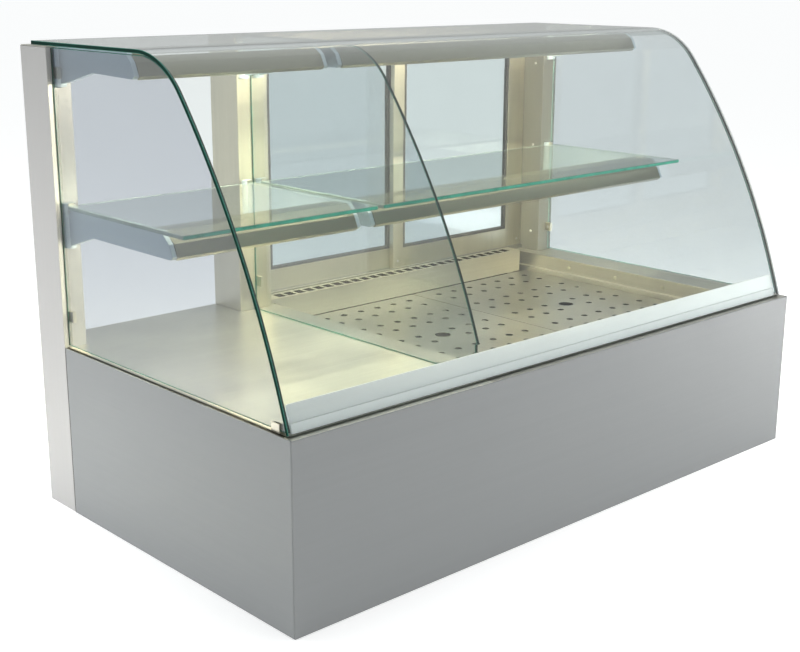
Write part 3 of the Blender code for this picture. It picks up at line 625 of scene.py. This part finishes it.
def add_front_glass():
    """The curved pane: dark rear and foot edges, a dark left end and a pale right one."""
    low, high = extent("front_glass")
    outer, inner = glass_line(0), glass_line(GLASS)
    count = len(outer)
    bm = bmesh.new()
    loops = loops_along(bm, "x", chamfered(outer + inner[::-1], low.x, high.x, CHAMFER))
    bridge(bm, loops[0], loops[1], 2)
    for i, face in enumerate(bridge(bm, loops[1], loops[2])):
        if i in (count - 1, 2 * count - 1):
            face.material_index = 1
    bridge(bm, loops[2], loops[3], 3)
    cap_strip(bm, loops[0], 1)
    cap_strip(bm, loops[3], 3)
    materials = [FRONT_GLASS, EDGE_DARK, ARRIS, EDGE_PALE]
    add_piece("curved_front_glass", bm, materials, "front_glass", ["front_glass"], 20)


def add_glass_seal():
    """A dark seal under the right end of the curved glass, beside the end glass's edge."""
    high = extent("front_glass")[1]
    outer, inner = glass_line(GLASS + 0.0003), glass_line(GLASS + SEAL - 0.0003)
    bm = bmesh.new()
    loops = loops_along(bm, "x", [(x, outer + inner[::-1]) for x in (high.x - 0.0034, high.x - 0.0004)])
    bridge(bm, *loops)
    for ring in loops:
        cap_strip(bm, ring)
    add_piece("right_glass_seal", bm, RUBBER, "front_glass", angle=20)


def pane(name, axis, outline, low, high, glass, edge, body, node, chamfer=CHAMFER):
    """A flat pane whose cut edge is green, with ground arrises."""
    bm = bmesh.new()
    loops = loops_along(bm, axis, chamfered(outline, low, high, chamfer))
    bridge(bm, loops[0], loops[1], 2)
    bridge(bm, loops[1], loops[2], 1)
    bridge(bm, loops[2], loops[3], 2)
    cap(bm, loops[0], 0)
    cap(bm, loops[3], 0)
    return add_piece(name, bm, [glass, edge, ARRIS], body, [node], 20)


def add_end_glasses():
    """The two end glasses and the partition, whose tops follow the curved glass under its seal."""
    line = glass_line(GLASS + SEAL)
    curve = [p for p in line[1:] if p[1] > CURVE_FOOT]
    for node in ("left_end_glass", "right_end_glass", "partition_glass"):
        low, high = extent(node)
        roof = high.z
        curved = [(y, z) for y, z in curve if z < roof - 0.0002]
        first = curve[len(curve) - len(curved) - 1]
        share = (first[1] - roof) / (first[1] - curved[0][1])
        top = (first[0] + (curved[0][0] - first[0]) * share, roof)
        if node == "partition_glass":
            feet = [(PARTITION_FOOT, curved[-1][1]), (PARTITION_FOOT, low.z)]
        else:
            feet = [(line[-1][0], low.z)]
        outline = [(high.y, roof), top, *curved, *feet, (high.y, low.z)]
        glass = SHADED_LEFT_GLASS if node == "left_end_glass" else END_GLASS
        edge = EDGE_GROUND if node == "right_end_glass" else EDGE_DARK
        pane(node + "_pane", "x", outline, low.x, high.x, glass, edge, "cabinet", node)


def add_shelves():
    """The shelves, with a bright green front edge; their other edges are ground."""
    for node in ("left_shelf", "right_shelf"):
        low, high = extent(node)
        outline = rounded((low.x, low.y), (high.x, high.y), 0.004, 5)
        shelf = pane(node + "_pane", "z", outline, low.z, high.z, SHELF_GLASS, EDGE_TEAL, node, node, 0.0008)
        shelf.data.materials.append(EDGE_GROUND)
        for face in shelf.data.polygons:
            if face.material_index and face.normal.y > -0.5:
                face.material_index = 3


def add_door_glasses():
    """Each door's pane, with a gasket in front of it and one behind it."""
    for side in ("left", "right"):
        node = f"{side}_door_glass"
        low, high = extent(node)
        opening = ((low.x, low.z), (high.x, high.z))
        pane(node + "_pane", "y", corners(*opening), low.y, high.y, DOOR_GLASS, EDGE_DARK, f"{side}_door", node, 0.0004)
        frame_low, frame_high = extent(f"{side}_door_frame")
        for face, near, far in (
            ("front", frame_low.y + 0.0006, low.y - 0.0001), ("rear", high.y + 0.0001, frame_high.y - 0.0006)
        ):
            gasket = frame_of("y", *opening, (-CLEAR, -CLEAR), (-0.0058, -0.0058), near, far)
            add_piece(f"{side}_door_{face}_gasket", gasket, RUBBER, f"{side}_door", bevel=0.0006)


# -------------------------------------------------------------------- steel


def fill_between(bm, outer, holes, upwards):
    """Fills a level sheet between its outer loop and its holes."""
    loops = [outer, *holes]
    verts = [v for loop in loops for v in loop]
    for a, b, c in tessellate_polygon([[v.co for v in loop] for loop in loops]):
        face = bm.faces.new((verts[a], verts[b], verts[c]))
        face.normal_update()
        if (face.normal.z > 0) != upwards:
            face.normal_flip()


def add_perforated_plate(side):
    """A plate with punched holes, each with a rounded rim, a finger hole and a turned-down edge."""
    node = f"{side}_perforated_plate"
    low, high = extent(node)
    centre = ((low.x + high.x) / 2, (low.y + high.y) / 2)
    holes = [(centre, FINGER_RADIUS, 28)]
    for column in range(PLATE_COLUMNS):
        for row in PLATE_ROWS:
            x = centre[0] + (column - (PLATE_COLUMNS - 1) / 2) * PLATE_PITCH
            if math.hypot(x - centre[0], row) > HOLE_FREE:
                holes.append(((x, centre[1] + row), HOLE_RADIUS, 16))
    # The sheet's thickness, the radius of its turned edge and that of a hole's rim.
    sheet, bend, rim = 0.0015, 0.0022, 0.0004
    top = high.z
    outline = rounded((low.x, low.y), (high.x, high.y), 0.005, 4)
    bm = bmesh.new()
    outer_levels = [(top, inset(outline, bend))]
    for step in (1, 2, 3):
        angle = math.pi / 6 * step
        across, down = bend * (1 - math.sin(angle)) + 1e-6, bend * (1 - math.cos(angle))
        outer_levels.append((top - down, inset(outline, across)))
    outer_levels += [
        (low.z, outline), (low.z, inset(outline, sheet)), (top - bend, inset(outline, sheet)),
        (top - sheet, inset(outline, bend + 0.0003)),
    ]
    skirts = loops_along(bm, "z", outer_levels)
    chain(bm, skirts)
    above, below = [], []
    for where, radius, sides in holes:
        rings = loops_along(bm, "z", [
            (top, circle(where, radius + rim, sides)), (top - rim * 0.35, circle(where, radius + rim * 0.35, sides)),
            (top - rim, circle(where, radius, sides)), (top - sheet, circle(where, radius, sides)),
        ])
        chain(bm, rings)
        above.append(rings[0])
        below.append(rings[-1])
    fill_between(bm, skirts[0], above, True)
    fill_between(bm, skirts[-1], below, False)
    add_piece(f"{side}_plate_sheet", bm, PLATE_STEEL, f"{side}_plate", [node], 10)


def dress_nodes():
    """Each CAD node that stays visible gets its material, and the width of its softened edges."""
    for name, material, bevel in (
        ("front_panel", CASING, 0.0007), ("left_side_panel", CASING_SIDE, 0.0007),
        ("right_side_panel", CASING_SIDE, 0.0007), ("rear_panel", CASING, 0.0004), ("base_plate", CASING, 0.0006),
        ("rear_left_post", POST, 0.0012), ("rear_right_post", POST_SHADED, 0.0012), ("centre_post", STEEL_Z, 0.0009),
        ("deck_plate", DECK_STEEL, 0.0005), ("well_pan", WELL_STEEL, 0.0007), ("plate_support_bar", STEEL_Y, 0.0004),
        ("air_duct", DUCT_STEEL, 0.0003), ("duct_baffle", DARK_STEEL, 0.0004), ("heating_element", DARK_STEEL, 0),
        ("control_plate", STEEL_X, 0.0004), ("front_sill", ALUMINIUM, 0.0006), ("glass_foot_profile", ALUMINIUM, 0.001),
        ("bottom_door_track", TRACK, 0.0004), ("top_door_track", TRACK, 0.0004), ("fan_housing", BLACK, 0.0006),
        ("fan_impeller", BLACK, 0), ("thermostat_knob", BLACK, 0.001), ("heat_switch", BLACK, 0.0006),
        ("light_switch", BLACK, 0.0006), ("mains_gland", BLACK, 0.0005), ("pilot_lamp", AMBER, 0.001),
        ("well_insulation", WOOL, 0),
    ):
        finish_node(name, material, bevel)
    for side in ("left", "right"):
        finish_node(f"{side}_door_frame", STEEL_Z, 0.0006)
        finish_node(f"{side}_door_grip", GRIP, 0.002)
        finish_node(f"{side}_foot_clip", CLIP, 0.0004)
    for kind in ("roof", "shelf"):
        for side in ("left", "centre_left", "centre_right", "right"):
            finish_node(f"{side}_{kind}_bracket", BRACKET, 0.0007)
        for side in ("left", "right"):
            finish_node(f"{side}_{kind}_trough", TROUGH, 0.0005)
            finish_node(f"{side}_{kind}_lamp", LAMP)


# ----------------------------------------------------------------- fittings


def add_post_caps():
    """Thin lids on the posts' open tops."""
    for node in ("rear_left_post", "rear_right_post", "centre_post"):
        low, high = extent(node)
        outline = rounded((low.x + 0.0004, low.y + 0.0004), (high.x - 0.0004, high.y - 0.0004), 0.002)
        lid = plate("z", outline, POST_TOP + CLEAR, POST_TOP + 0.0014, 0.0003)
        add_piece(node + "_cap", lid, STEEL_X, "cabinet")


def add_lamp_caps():
    """A metal cap at each end of each lamp tube."""
    for side in ("left", "right"):
        for kind in ("roof", "shelf"):
            name = f"{side}_{kind}_lamp"
            low, high = extent(name)
            centre = ((low.y + high.y) / 2, (low.z + high.z) / 2)
            radius = (high.y - low.y) / 2 + 0.0004
            steps = ((-0.0004, radius - 0.001), (CLEAR, radius), (0.012, radius), (0.013, radius - 0.0008))
            for end, at, way in (("left", low.x, 1), ("right", high.x, -1)):
                profile = [(at + way * inwards, wide) for inwards, wide in steps]
                add_piece(f"{name}_cap_{end}", turned("x", centre, profile), ALUMINIUM, "cabinet")


def add_screw(name, axis, centre, surface, way, radius, body="cabinet", material=SCREW):
    add_piece(name, screw_head(axis, centre, surface, way, radius), material, body, angle=30)


def add_screws():
    """Screws in rows, at places across the axis that they face along, and four on each door's frame."""
    small, middle, large = 0.0028, 0.0036, 0.004
    well = [(side, 0.272) for side in (0.241, 0.361, 0.485)]
    front = [(x, 0.272) for x in (0.560, 0.784, 1.008)]
    panel = [(x, z) for x in (0.070, 0.600, 1.130) for z in (0.030, 0.255)]
    post = [(0.620, z) for z in (0.330, 0.520, 0.700)]
    control = [(x, z) for x in (0.890, 1.110) for z in (0.120, 0.200)]
    for name, axis, way, surface, places, material, radius in (
        ("well_wall_screw", "x", -1, WELL_WALL, well, STEEL_Z, middle),
        ("well_front_screw", "y", 1, WELL_FRONT, front, STEEL_Z, middle),
        ("rear_panel_screw", "y", 1, DEPTH, panel, SCREW, large),
        ("right_post_screw", "x", -1, WIDTH - POST_WIDTH, post, SCREW, small),
        ("left_post_screw", "x", 1, POST_WIDTH, post, SCREW, small),
        ("control_screw", "y", 1, CONTROL_FACE, control, SCREW, small),
    ):
        for number, centre in enumerate(places, 1):
            add_screw(f"{name}_{number}", axis, centre, surface, way, radius, material=material)
    for side in ("left", "right"):
        low, high = extent(f"{side}_door_frame")
        for column, x in (("left", low.x + 0.012), ("right", high.x - 0.012)):
            for number, z in enumerate((low.z + 0.016, high.z - 0.016), 1):
                add_screw(f"{side}_door_{column}_screw_{number}", "y", (x, z), low.y, -1, 0.0026, f"{side}_door")


def add_glass_clips():
    """Small clips that hold the end glasses and the partition to the posts, each with its screw."""
    thick, deep, tall = 0.006, 0.014, 0.018
    for name, x, way in (("left", 0.0145, 1), ("partition", 0.3915, 1), ("right", 1.1855, -1)):
        for number, z in enumerate((0.331, 0.722), 1):
            near, far = sorted((x, x + way * thick))
            body = box((near, POST_FRONT - deep, z), (far, POST_FRONT - 0.0003, z + tall), 0.0006)
            add_piece(f"{name}_glass_clip_{number}", body, CLIP, "cabinet")
            middle = (POST_FRONT - deep / 2, z + tall / 2)
            add_screw(f"{name}_glass_clip_screw_{number}", "x", middle, x + way * thick, way, 0.0028)


def add_shelf_stops():
    """A stop behind each rear corner of the shelves."""
    for side, places in (("left", (0.025, 0.371)), ("right", (0.405, 1.175))):
        low, high = extent(f"{side}_shelf")
        for number, x in enumerate(places, 1):
            stop_low = (x - 0.005, high.y + 0.0004, low.z - 0.006)
            stop_high = (x + 0.005, high.y + 0.0026, low.z + 0.010)
            add_piece(f"{side}_shelf_stop_{number}", box(stop_low, stop_high, 0.0005), CLIP, "cabinet")


def add_switch_trim():
    """A bezel round each rocker switch, and a plain bar on its upper half that rocks with it."""
    for kind in ("heat", "light"):
        low, high = extent(f"{kind}_switch")
        rocker = ((low.x, low.z), (high.x, high.z))
        bezel = frame_of("y", *rocker, (0.0045, 0.0045), (0.0008, 0.0012), CONTROL_FACE + CLEAR, CONTROL_FACE + 0.0022)
        add_piece(f"{kind}_switch_bezel", bezel, BLACK, "cabinet", bevel=0.0006)
        bar = box((low.x + 0.008, 0.6596, high.z - 0.009), (high.x - 0.008, 0.6602, high.z - 0.003), 0.0001)
        add_piece(f"{kind}_switch_mark", bar, WHITE, f"{kind}_rocker")


def add_lamp_ring():
    """The pilot lamp's ring, from its foot over its rim to its bore."""
    low, high = extent("pilot_lamp")
    centre = ((low.x + high.x) / 2, (low.z + high.z) / 2)
    profile = ((CLEAR, 0.0095), (0.0018, 0.0092), (0.0026, 0.0080), (0.0022, 0.0064), (CLEAR, 0.0063))
    ring = bmesh.new()
    ringed(ring, loops_along(ring, "y", [(CONTROL_FACE + up, circle(centre, wide, 32)) for up, wide in profile]))
    add_piece("pilot_lamp_ring", ring, SCREW, "cabinet")


def add_knob_marks():
    """A scale of eleven marks round the knob, every fifth one longer, and the knob's pointer."""
    low, high = extent("thermostat_knob")
    middle = (low.x + high.x) / 2
    knob = Vector((middle, KNOB_HEIGHT))
    marks = []
    for step in range(11):
        angle = math.radians(90 - 27 * step)
        inner, outer = 0.0225, 0.0270 if step % 5 == 0 else 0.0252
        across = Vector((-math.sin(angle), math.cos(angle))) * 0.0005
        outwards = Vector((math.cos(angle), math.sin(angle)))
        start, end = knob + outwards * inner, knob + outwards * outer
        outline = [tuple(p) for p in (start - across, end - across, end + across, start + across)]
        marks.append(plate("y", outline, CONTROL_FACE + 0.0001, CONTROL_FACE + 0.0003))
    add_piece("thermostat_scale", join(*marks), BLACK, "cabinet")
    pointer = box(
        (middle - 0.0008, high.y - 0.0003, KNOB_HEIGHT + 0.005),
        (middle + 0.0008, high.y + 0.0003, KNOB_HEIGHT + 0.0185), 0.0001,
    )
    add_piece("thermostat_pointer", pointer, WHITE, "knob")


# ------------------------------------------------------------------ setting


def add_stage():
    """A pale floor that glows a little, and a plain studio sky."""
    bpy.ops.mesh.primitive_plane_add(size=4000, location=(0, 0, -0.0006))
    floor = bpy.context.object
    floor.name = "floor"
    made, _, shader = new_material("floor_paper")
    shader.inputs["Base Color"].default_value = (0.88, 0.88, 0.88, 1)
    shader.inputs["Roughness"].default_value = 0.9
    shader.inputs["Specular IOR Level"].default_value = 0.0
    shader.inputs["Emission Color"].default_value = (1.0, 1.0, 1.0, 1)
    shader.inputs["Emission Strength"].default_value = 0.28
    floor.data.materials.append(quiet(made))
    world = bpy.context.scene.world or bpy.data.worlds.new("studio")
    bpy.context.scene.world = world
    world.use_nodes = True
    tree = world.node_tree
    back = tree.nodes["Background"]
    towards = add_node(tree, "ShaderNodeTexCoord").outputs["Generated"]
    height = add_node(tree, "ShaderNodeSeparateXYZ", {"Vector": towards}).outputs["Z"]
    sky = ramp(tree, height, [(0.0, (0.59, 0.61, 0.60)), (0.15, (0.61, 0.64, 0.635)), (0.8, (0.95, 0.965, 0.97))])
    tree.links.new(sky, back.inputs["Color"])
    back.inputs["Strength"].default_value = 0.9


def add_area(name, where, target, size, power, colour=(1, 1, 1), spread=None):
    """A rectangular lamp aimed at a target, not seen itself."""
    light = bpy.data.lights.new(name, "AREA")
    light.shape = "RECTANGLE"
    light.size, light.size_y = size
    light.energy = power
    light.color = colour
    if spread:
        light.spread = spread
    made = bpy.data.objects.new(name, light)
    made.location = where
    made.rotation_euler = (Vector(target) - Vector(where)).to_track_quat("-Z", "Y").to_euler()
    made.visible_camera = False
    made.visible_glossy = False
    made.visible_transmission = False
    bpy.context.scene.collection.objects.link(made)
    return made


def add_lights():
    """Three studio lamps, and a strip in each trough that shines down and back."""
    add_area("studio_top", (0.2, -0.4, 3.2), (0, 0, 0.4), (3.0, 3.0), 26)
    add_area("studio_right", (2.0, -1.15, 0.50), (0.6, -0.34, 0.15), (0.7, 0.7), 38, (1.0, 0.99, 0.98))
    cool = (0.98, 0.99, 1.0)
    add_area("studio_left", (-1.5, 0.95, 0.42), (-0.6, 0.15, 0.15), (0.5, 0.5), 3.2, cool, math.radians(80))
    warm = (1.0, 0.88, 0.64)
    for side in ("left", "right"):
        for kind, power in (("roof", 4.1), ("shelf", 3.2)):
            low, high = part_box(f"{side}_{kind}_lamp")
            centre = (low + high) / 2
            length = high.x - low.x
            where = centre + Vector((0, 0.010, -0.006))
            target = where + Vector((0, 0.10, -0.16))
            # The power is for half a metre of tube.
            power_here = power * length / 0.5
            strip = add_area(f"{side}_{kind}_light", where, target, (length, 0.012), power_here, warm)
            strip.visible_glossy = True


def add_camera():
    """The photo's camera, from a fit to the case's corners."""
    camera = bpy.data.cameras.new("camera")
    camera.lens = 59.255
    camera.sensor_width = 36
    made = bpy.data.objects.new("camera", camera)
    pitch, yaw, roll = -0.26388, -0.74586, -0.00335
    turn = Matrix.Rotation(yaw, 3, "Z") @ Matrix.Rotation(pitch, 3, "X") @ Matrix.Rotation(roll, 3, "Y")
    right, forward, up = turn.col[0], turn.col[1], turn.col[2]
    axes = Matrix((right, up, -forward)).transposed().to_4x4()
    made.matrix_world = Matrix.Translation((-1.6009, -1.6325, 0.8862)) @ axes
    bpy.context.scene.collection.objects.link(made)
    bpy.context.scene.camera = made


bpy.context.scene.view_settings.view_transform = "Standard"
dress_nodes()
add_front_glass()
add_end_glasses()
add_glass_seal()
add_shelves()
add_door_glasses()
for plate_side in ("left", "right"):
    add_perforated_plate(plate_side)
add_post_caps()
add_lamp_caps()
add_screws()
add_glass_clips()
add_shelf_stops()
add_switch_trim()
add_lamp_ring()
add_knob_marks()
add_stage()
add_lights()
add_camera()
